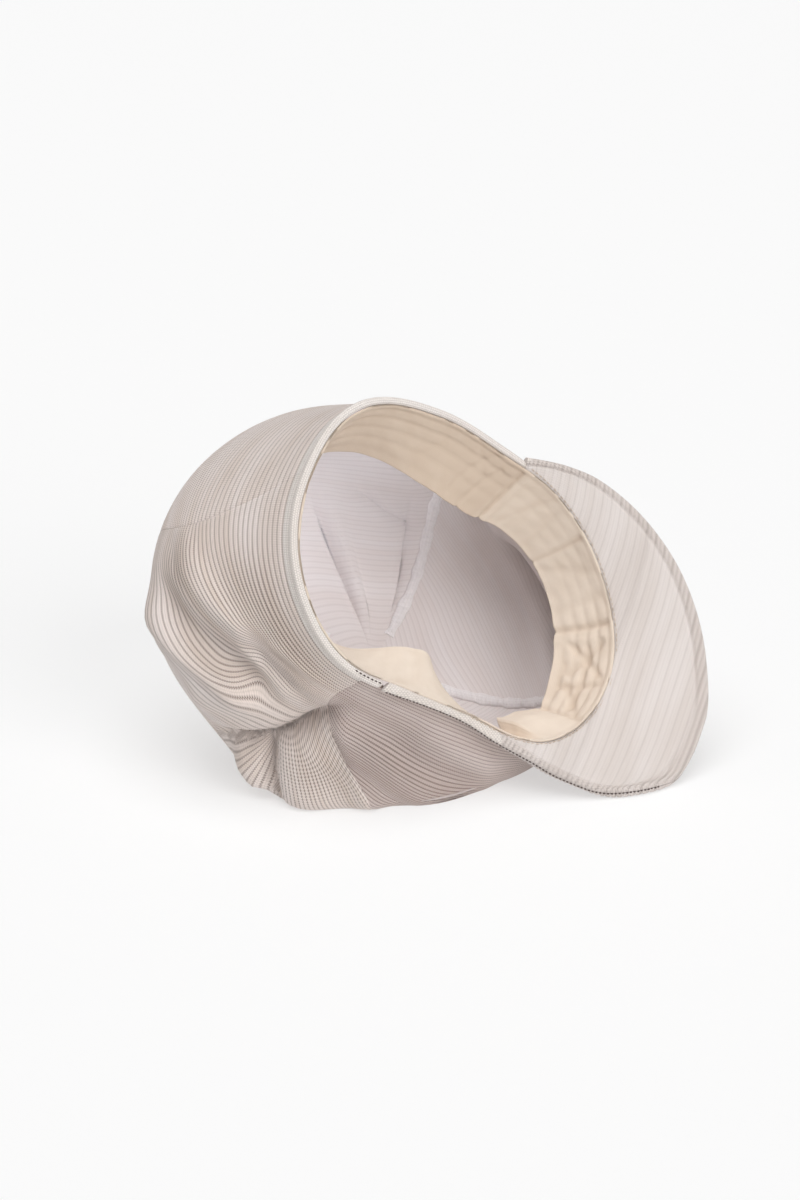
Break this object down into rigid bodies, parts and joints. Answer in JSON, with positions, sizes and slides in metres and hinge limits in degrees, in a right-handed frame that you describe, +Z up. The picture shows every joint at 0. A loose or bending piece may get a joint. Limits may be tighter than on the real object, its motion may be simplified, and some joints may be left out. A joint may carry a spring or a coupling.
{
  "type": "baker boy cap",
  "caption": "Rib-knit baker-boy cap with a stiff peak and a cotton sweatband, lying on the side of its soft crown.",
  "frame": {"origin": "centre of the bounding box, at the floor the cap lies on", "axes": "+Z up from the floor; -Y toward a viewer who looks into the cap; the peak lies toward +X and the back of the crown toward -X"},
  "size_m": [0.2739, 0.1696, 0.1836],
  "materials": {
    "rib_knit": "matt two-tone rib knit",
    "peak_cloth": "matt rib knit over a stiff board",
    "cotton": "plain cream cotton"
  },
  "bodies": {
    "root": {"crown_front_left": "rib_knit", "crown_back_left": "rib_knit", "crown_back_right": "rib_knit", "crown_front_right": "rib_knit", "seam_front": "rib_knit", "seam_left": "rib_knit", "seam_back": "rib_knit", "seam_right": "rib_knit", "rim_hem": "rib_knit", "sweatband": "cotton", "peak_upper": "peak_cloth", "peak_lower": "peak_cloth"}
  },
  "joints": []
}
